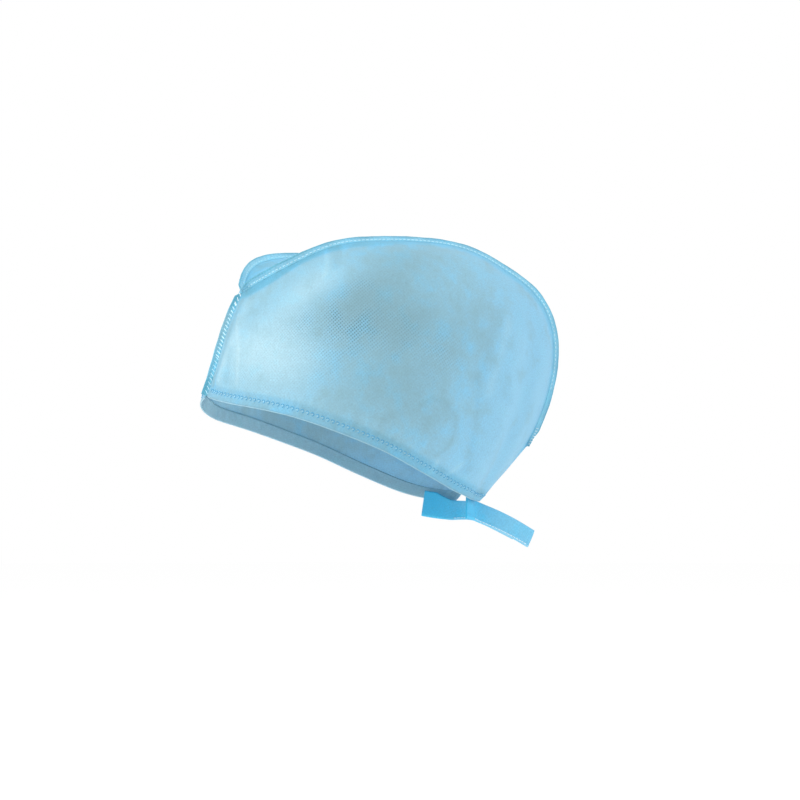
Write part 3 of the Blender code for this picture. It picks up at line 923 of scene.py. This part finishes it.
def hem_surface(side):
    """From the inner layer's top, down, and round under the panel's lower edge."""
    front = front_station(HEM_START)

    def surface(u, v):
        u = u if side > 0 else 1 - u
        station = front + (1 - front) * u
        flat_part = np.clip((1 - v - ROLL_SHARE) / (1 - ROLL_SHARE), 0, 1)
        turn = math.pi * np.clip((v - 1 + ROLL_SHARE) / ROLL_SHARE, 0, 1)
        height = flat_part * millimetres(HEM_DEPTH) / section_speed(station, side)[0]
        normal = panel_normals(station, height, side)
        above, _ = panel_base(station, height + 0.01, side)
        face = panel_points(station, height, side)
        up = unit(above - panel_base(station, height, side)[0])
        radius = 0.5 * millimetres(HEM_GAP + CLOTH_THICKNESS)
        middle = face - (radius + millimetres(0.1)) * normal
        return middle - radius * (np.cos(turn)[:, None] * normal + np.sin(turn)[:, None] * up)

    return surface


def hem_state(u, v):
    # Painted light: the inner layer is painted paler than the panel, to lift it out of the shade inside the
    # cap
    return state_colours(0.05, 0.88, 1.0 + 0 * u)


for name, side in SIDES:
    hem = cloth_piece(
        name + "_turned_hem", "hem_" + name, 170, 14,
        [hem_surface(side)], hem_state, cap_cloth, INNER_THICKNESS, 0.0,
    )

# %% [markdown]
# The hem is held by a chain stitch about halfway up the inner layer. From outside it shows as a row
# of small open loops with a pale dot of thread inside each. The loops are drawn in dark blue thread,
# which paints the shade round them and their needle holes. The row is found by walking along the
# panel at one height above the edge. A loop is two thirds of a circle, laid flat on the cloth there.

# %% Hem stitches
HEM_STITCH_PITCH = 3.3
HEM_STITCH_UP = 4.6
LOOP_RADIUS = 1.05
LOOP_THREAD = 0.27
LOOP_FROM, LOOP_TO = -80.0, 165.0


def hem_row(side, up):
    """Points and normals along the panel at one height in mm above its lower edge."""
    station = np.linspace(0.015, 0.992, 900)
    height = millimetres(up) / section_speed(station, side)[0]
    return panel_points(station, height, side), panel_normals(station, height, side)


def chain_loops(points, normals, pitch):
    """Open loops that lie on the cloth, each with its gap low and towards the front."""
    angles = np.radians(np.linspace(LOOP_FROM, LOOP_TO, 9))
    lift = millimetres(0.10) * np.sin(np.linspace(0, math.pi, 9))
    loops = []
    for place, ahead, out in zip(*spaced(points, normals, pitch)):
        above = np.cross(out, ahead)
        above = above * np.sign(above[2])
        ring = np.cos(angles)[:, None] * ahead + np.sin(angles)[:, None] * above
        loops.append(place + millimetres(LOOP_RADIUS) * ring + lift[:, None] * out)
    return loops


for name, side in SIDES:
    points, normals = hem_row(side, HEM_STITCH_UP)
    loops = thread_piece(
        name + "_hem_stitches", chain_loops(points, normals, HEM_STITCH_PITCH), LOOP_THREAD, stitch_shade_thread
    )
    dots = lock_stitches(points, normals, HEM_STITCH_PITCH, 0.8, 0.12)
    dots = thread_piece(name + "_hem_stitch_dots", dots, 0.13, pale_thread)

# %% [markdown]
# ## Crown strip
# The strip over the top is narrow at the front, where both crown seams meet, and wide over the crown.
# Its grid runs along the same two seam lines, so strip and panels meet exactly. At the back end the
# strip is turned in once and looks doubled there.

# %% Crown strip
CROWN_TIP = 0.005
REAR_FOLD = 6.0


def crown_place(u, v):
    """Station and place across the strip, which stops just short of both seams."""
    station = CROWN_TIP + (1 - CROWN_TIP) * v
    half = CROWN_HALF_WIDTH * spline(SEAM_ROWS, 2, station)
    return station, (2 * u - 1) * (1 - 0.3 * SEAM_JOINT / half)


def crown_state(u, v):
    station, across = crown_place(u, v)
    half = 1000 * CROWN_HALF_WIDTH * spline(SEAM_ROWS, 2, station)
    from_seam = half * (1 - np.abs(across))
    strip = 0.25 * soft_edge(from_seam, 3.4, 0.35)
    rear = 0.6 * soft_edge(1000 * SEAM_RUN * (1 - station), REAR_FOLD, 0.3)
    front = 0.8 * soft_edge(station, 0.24, 0.03)
    tone = 0.50 + 0.08 * np.sin(7 * station) - 0.2 * front
    return state_colours(np.maximum.reduce([strip, rear, front]), tone, 0.9)


crown = cloth_piece(
    "crown_strip_cloth", "crown", 60, 240,
    [lambda u, v: crown_points(*crown_place(u, v))], crown_state, cap_cloth,
)

# %% [markdown]
# ## Standing crown seams
# Where strip and panel are joined, both raw edges stand up together, so each seam is two thin layers
# with a little air between them. They are two grids in one piece. Each grid starts flat on its own
# cloth, turns up in a small Bezier curve and then leans slightly to its own side, so no dark gap opens
# at the foot. The edge is not ruler straight: it rises and falls a little.

# %% Standing crown seams
FLANGE_HEIGHT = 3.0
FLANGE_SPLAY = 0.30
FOOT_TURN = 1.2
FLANGE_TIP = 0.003
FOOT_SHARE = 0.4
LAYER_LIFT = 0.12
LAYER_APART = 0.16
EDGE_THICKNESS = 0.22
STEADY_FROM = 0.035
# Stations near both ends, and how much of its height the edge has at each
FLANGE_ENDS = ((0.0, 0.035, 0.97, 0.9835, 1.0), (0.45, 1.0, 1.0, 0.55, 0.55))


def flange_frame(station, side):
    """Foot of the standing edge, the direction in which it stands, and the direction to the strip.

    The strip is a mere point at its tip, so the directions there are taken from a little way on."""
    foot, _ = seam_line(station, side)
    steady = np.maximum(station, STEADY_FROM)
    top = np.ones_like(station)
    panel_way = panel_normals(steady, top, side)
    strip_way = crown_normals(steady, side * top)
    return foot, unit(panel_way + strip_way), unit(strip_way - panel_way + 1e-6)


def turned_up(v, start, foot, standing, sideways, height, splay):
    """From the flat cloth at start, round a small curve at the foot, and up to the free edge."""
    turn = np.clip(v / FOOT_SHARE, 0, 1)[:, None]
    above = np.clip((v - FOOT_SHARE) / (1 - FOOT_SHARE), 0, 1)
    corner = foot + millimetres(0.1) * (standing + sideways)
    stand = foot + millimetres(FOOT_TURN) * standing + millimetres(LAYER_APART) * sideways
    low = (1 - turn) ** 2 * start + 2 * turn * (1 - turn) * corner + turn**2 * stand
    rise = (height - millimetres(FOOT_TURN)) * above
    return low + rise[:, None] * standing + (splay * above**2)[:, None] * sideways


def flange_surface(side, layer):
    """One of the two layers of a standing seam. layer is 1 for the panel's and -1 for the strip's."""

    def surface(u, v):
        u = u if side * layer > 0 else 1 - u
        station = FLANGE_TIP + (1 - FLANGE_TIP) * u
        foot, standing, sideways = flange_frame(station, side)
        if layer > 0:
            height = 1 - millimetres(FOOT_TURN) / section_speed(station, side)[1]
            start = panel_points(station, height, side)
            start = start + millimetres(LAYER_LIFT) * panel_normals(station, height, side)
        else:
            half = CROWN_HALF_WIDTH * spline(SEAM_ROWS, 2, station)
            across = side * (1 - np.minimum(millimetres(FOOT_TURN) / half, 0.8))
            start = crown_points(station, across)
            start = start + millimetres(LAYER_LIFT) * crown_normals(station, across)
        run = SEAM_RUN * station
        edge = 1 + 0.02 * wave(run, 0.017) + 0.01 * wave(run, 0.0071, 1.0)
        tall = 1 + 0.35 * soft_edge(station, 0.20, 0.03)
        rise = millimetres(FLANGE_HEIGHT) * tall * edge * np.interp(station, *FLANGE_ENDS)
        splay = millimetres(FLANGE_SPLAY + 0.2 * layer * wave(run, 0.023, side))
        return turned_up(v, start, foot, standing, -layer * sideways, rise, splay)

    return surface


def flange_state(u, v):
    # Painted shade: the free edge is painted darker and deeper blue as a thin rim, as seen edge on
    rim_shade = soft_edge(1 - v, 0.16, 0.03)
    return state_colours(0.2 + 0.5 * (1 - v) + 0.7 * rim_shade, 0.52 - 0.45 * rim_shade, 0.9)


for name, side in SIDES:
    cloth_piece(
        name + "_crown_seam_edges", "crown_seam_" + name, 260, 10,
        [flange_surface(side, 1), flange_surface(side, -1)], flange_state, seam_cloth, EDGE_THICKNESS, 0.0,
    )

# %% [markdown]
# The seam is sewn close to its foot, so a row of small white stitches shows on both faces of the
# standing edge, where it turns up from the cloth.

# %% Crown seam stitches
CROWN_STITCH_PITCH = 2.7
CROWN_STITCH_AT = 0.34
for name, side in SIDES:
    for layer, radius, length in ((1, 0.28, 1.4), (-1, 0.17, 1.2)):
        surface = flange_surface(side, layer)
        ends = (0.03, 0.90) if side * layer > 0 else (0.10, 0.97)
        points, normals = surface_row(surface, CROWN_STITCH_AT, *ends)
        points = points + millimetres(0.12) * normals
        paths = lock_stitches(points, normals, CROWN_STITCH_PITCH, length, 0.7 * radius)
        face = "_panel_side" if layer > 0 else "_strip_side"
        thread_piece(name + "_crown_stitches" + face, paths, radius, pale_thread)

# %% [markdown]
# ## Front seam and its overlock
# The two panels meet at the centre front in a standing edge of the same kind. Its foot is covered by
# thick overlock thread: on each side a row of short bars runs slanting from the face of the standing
# edge down onto the panel. Each bar is a curve whose points are taken from the seam and the panel
# themselves, lifted a little in the middle and sunk at both ends.

# %% Front seam
FRONT_HEIGHT = 3.5
FRONT_SLANT = 0.07
FRONT_SPLAY = 0.22


def front_frame(height):
    """Foot of the front seam's standing edge and the direction in which it stands."""
    station = np.full_like(height, front_station(0.5 * SEAM_JOINT))
    foot = panel_base(np.zeros_like(height), height, 1)[0]
    foot[:, 0] = 0.0
    standing = panel_normals(station, height, 1) + panel_normals(station, height, -1)
    standing[:, 0] = 0.0
    return foot, unit(standing)


def beside_front(distance, height, side):
    """Points and normals of a panel at a distance in mm from its front edge."""
    station = np.full_like(height, front_station(millimetres(distance)))
    return panel_points(station, height, side), panel_normals(station, height, side)


def front_surface(side):
    def surface(u, v):
        u = u if side > 0 else 1 - u
        height = u * (1 - FRONT_SLANT * v)
        foot, standing = front_frame(height)
        start, normal = beside_front(FOOT_TURN, height, side)
        start = start + millimetres(LAYER_LIFT) * normal
        sideways = np.array([float(side), 0.0, 0.0])
        rise = millimetres(FRONT_HEIGHT) * (1 + 0.02 * wave(u, 0.2))
        return turned_up(v, start, foot, standing, sideways, rise, millimetres(FRONT_SPLAY))

    return surface


def front_state(u, v):
    ends = soft_edge(np.minimum(u, 1 - u) * 67, 9.0, 1.5)
    foot = 0.5 * soft_edge(v, 0.35, 0.05)
    lower = 0.5 * soft_edge(u, 0.5, 0.12)
    return state_colours(0.05 + 0.95 * ends + foot + lower, 0.35 - 0.3 * ends, 0.2 + ends + lower)


front_edges = cloth_piece(
    "front_seam_edges", "front_seam", 90, 10,
    [front_surface(1), front_surface(-1)], front_state, seam_cloth, EDGE_THICKNESS, 0.0,
)

# %% Overlock thread on the front seam
OVERLOCK_PITCH = 2.3
OVERLOCK_LEAN = 0.85
BAR_RADIUS = 0.34


def overlock_bars(low, high, lean, pitch):
    """Slanting bars of thread from both faces of the standing edge down onto the panels."""
    length = distance_along(front_frame(np.linspace(low, high, 400))[0])[-1]
    rows = np.linspace(low, high, int(length / millimetres(pitch)))
    step = millimetres(lean) * (high - low) / length
    bars = []
    for side in (1, -1):
        surface = front_surface(side)
        columns = []
        for share, ahead, lift in ((0.50, 1.0, -0.02), (0.40, 0.6, 0.24), (0.22, 0.1, 0.32)):
            u = (rows + ahead * step) / (1 - FRONT_SLANT * share)
            points = surface(u if side > 0 else 1 - u, np.full_like(u, share))
            away = unit(points - front_frame(rows)[0])
            out = np.array([float(side), 0.0, 0.0]) * share + away * (1 - share)
            columns.append(points + millimetres(lift) * unit(out))
        for distance, ahead, lift in ((1.2, -0.5, 0.26), (1.7, -0.9, -0.06)):
            points, normal = beside_front(distance, rows + ahead * step, side)
            columns.append(points + millimetres(lift) * normal)
        bars += [list(bar) for bar in zip(*columns)]
    return bars


for name, low, high, radius in (("upper", 0.36, 0.86, BAR_RADIUS), ("lower", 0.03, 0.34, 0.6 * BAR_RADIUS)):
    bars = overlock_bars(low, high, OVERLOCK_LEAN, OVERLOCK_PITCH)
    thread_piece("front_overlock_thread_" + name, bars, radius, pale_thread)

# %% [markdown]
# Where the three seams meet at the top of the front, the thread ends pile up in a tack. It is the
# same bars again, closer together and in white.

# %% Tack at the top of the front
TACK_LEAN = 1.1
TACK_PITCH = 1.6
thread_piece("front_tack_thread", overlock_bars(0.87, 0.955, TACK_LEAN, TACK_PITCH), 0.25, white_thread)

# %% [markdown]
# At the other end of each crown seam, at the back, the two raw edges are bound by a few turns of
# thread so that they can't come apart. Each turn is one open curve: up one face of the standing edge,
# over its top and down the other face, with a slight lean. The feet of the turns are picked along the
# seam at an even spacing.

# %% Overlock at the rear corners
REAR_BOUND = 0.965
CORNER_PITCH = 1.9
CORNER_LEAN = 1.0


def corner_bar(place, along, standing, sideways, rise, half):
    """One bar of thread over a standing edge: up one face, over the edge and down the other."""
    shape = ((0.30, 1.0, -0.5), (0.75, 1.15, -0.1), (1.06, 0.0, 0.15), (0.75, -1.15, 0.35), (0.30, -1.0, 0.5))
    return [
        place + up * rise * standing + out * half * sideways + ahead * millimetres(CORNER_LEAN) * along
        for up, out, ahead in shape
    ]


for name, side in SIDES:
    station = np.linspace(REAR_BOUND, 0.997, 200)
    feet, standing, across = flange_frame(station, side)
    run = distance_along(feet)
    marks = np.arange(millimetres(0.6), run[-1], millimetres(CORNER_PITCH))
    picked = np.clip(np.searchsorted(run, marks), 1, len(run) - 2)
    corner = [
        corner_bar(
            feet[i], unit(feet[i + 1] - feet[i - 1]), standing[i], across[i],
            millimetres(0.7 * FLANGE_HEIGHT), millimetres(LAYER_APART + FLANGE_SPLAY + 0.25),
        )
        for i in picked
    ]
    thread_piece(name + "_corner_thread", corner, 0.17, white_thread)

# %% [markdown]
# ## Ties
# A tie is a strip of the same cloth, folded three times to about 12 mm and sewn near its open
# edge. Many layers make it the deepest blue. One end is sewn inside the hem at the rear corner, and
# the other hangs free. The grid goes right round the flat section, with a raised lip along the
# lower edge where the raw edge is folded in. Its long edges are merged and its ends filled.

# %% Ties
TIE_WIDTH = 0.0125
TIE_THICK = 0.0012
TIE_LENGTH = 0.046
TIE_SEWN = 0.026
TIE_TAB = 0.005
TIE_DROP = (0.48, 0.50)
LEFT_TIE = ((-0.04, 0.33, -0.12), (-0.09, 0.90, -0.40))
RIGHT_TIE = ((-0.06, 0.27, 0.00), (-0.07, 0.57, -0.10), (-0.08, 0.98, -0.30))
TIE_INSET = 0.0038
TIE_CUP = 0.6

# The flat section of a tie: share of the way round, height and thickness as shares of its size
TIE_SECTION = (
    (0.000, -0.500, 0.00), (0.030, -0.490, 0.42), (0.060, -0.455, 0.68), (0.125, -0.335, 0.72),
    (0.150, -0.300, 0.48), (0.300, 0.030, 0.44), (0.440, 0.450, 0.46), (0.470, 0.488, 0.32),
    (0.500, 0.500, 0.00), (0.530, 0.488, -0.32), (0.560, 0.450, -0.46), (0.940, -0.455, -0.48),
    (0.970, -0.490, -0.34), (1.000, -0.500, 0.00),
)


def tie_route(side, shares):
    """Middle line of a tie: along the hem's inside to the rear corner, then free."""
    back = np.linspace(1, 0, 6)
    near_end = hem_line(np.array([0.85, 1.0]), side)[0]
    end_speed = np.linalg.norm(near_end[1] - near_end[0]) / 0.15
    edge, outward = hem_line(1 - TIE_SEWN / end_speed * back, side)
    held = edge - TIE_INSET * outward
    held[:, 2] -= TIE_WIDTH * (TIE_DROP[1] + (TIE_DROP[0] - TIE_DROP[1]) * back)
    free = held[-1] + TIE_LENGTH * np.array(LEFT_TIE if side > 0 else RIGHT_TIE) * (side, 1, 1)
    points = np.vstack([held, free])
    run = distance_along(points)
    table = np.column_stack([run / run[-1], points])
    return np.stack([spline(table, k, shares) for k in (1, 2, 3)], axis=-1)


def tie_frame(side, u):
    """Middle, upward and outward directions of a tie, and the tab's extra height where it is sewn."""
    before, after = shifted(u, 0.01)
    along = unit(tie_route(side, after) - tie_route(side, before))
    up = unit(np.array([0.0, 0.0, 1.0]) - along[..., 2:3] * along)
    free = np.clip(u * (TIE_SEWN + TIE_LENGTH) / TIE_SEWN - 0.4, 0, 1)
    return tie_route(side, u), up, np.cross(along, up) * side, TIE_TAB * (1 - free) ** 2


def past_hem(u):
    """0 where a tie is held by the hem, rising to 1 where it hangs free."""
    return np.clip(4 * u - 1.6, 0, 1)


def tie_surface(side):
    section = np.array(TIE_SECTION)

    def surface(u, v):
        middle, up, out, tab = tie_frame(side, u)
        high = np.interp(v, section[:, 0], section[:, 1])
        thick = np.interp(v, section[:, 0], section[:, 2])
        run = (TIE_SEWN + TIE_LENGTH) * u
        ripple = 0.05 * wave(run, 0.0105, 4 * high) * np.clip(0.5 - high, 0, 1)
        cup = millimetres(TIE_CUP) * (2 * high) ** 2 * past_hem(u)
        tall = TIE_WIDTH * high + tab * (high + 0.5)
        return middle + tall[:, None] * up + (TIE_THICK * (thick + ripple) - cup)[:, None] * out

    return surface


def tie_state(u, v):
    section = np.array(TIE_SECTION)
    high = np.interp(v, section[:, 0], section[:, 1])
    lip = 0.3 * np.exp(-(((high + 0.45) / 0.04) ** 2))
    root = 0.16 + 0.85 * soft_edge(1000 * (TIE_SEWN + TIE_LENGTH) * u, 31.0, 5.0)
    return state_colours(root, 0.50 + lip, 1.0)


def close_tube(piece):
    """Merges the long edges of a tie's grid and fills both ends, so it is a closed flat tube."""
    build = bmesh.new()
    build.from_mesh(piece.data)
    bmesh.ops.remove_doubles(build, verts=build.verts, dist=1e-6)
    bmesh.ops.holes_fill(build, edges=[edge for edge in build.edges if edge.is_boundary], sides=0)
    bmesh.ops.recalc_face_normals(build, faces=build.faces)
    build.to_mesh(piece.data)
    build.free()
    piece.modifiers.clear()


for name, side in SIDES:
    tie = cloth_piece(
        name + "_tie_strap", "tie_" + name, 120, 66, [tie_surface(side)], tie_state, tie_cloth
    )
    close_tube(tie)

# %% [markdown]
# One straight row of white stitches closes the fold of a tie, near its lower edge. It shows on both
# faces. The row follows the tie's own middle line, moved down to the fold and out to the face.

# %% Tie stitches
TIE_STITCH_PITCH = 2.3
for name, side in SIDES:
    paths = []
    for face in (1, -1):
        u = np.linspace(0.37, 0.985, 500)
        middle, up, out, _ = tie_frame(side, u)
        lift = face * (TIE_THICK * (0.72 if face > 0 else 0.46) + millimetres(0.03))
        lift = lift - millimetres(0.38) * past_hem(u)
        points = middle - 0.40 * TIE_WIDTH * up + lift[:, None] * out
        paths += lock_stitches(points, face * out, TIE_STITCH_PITCH, 1.7, 0.13)
    thread_piece(name + "_tie_stitches", paths, 0.15, white_thread)
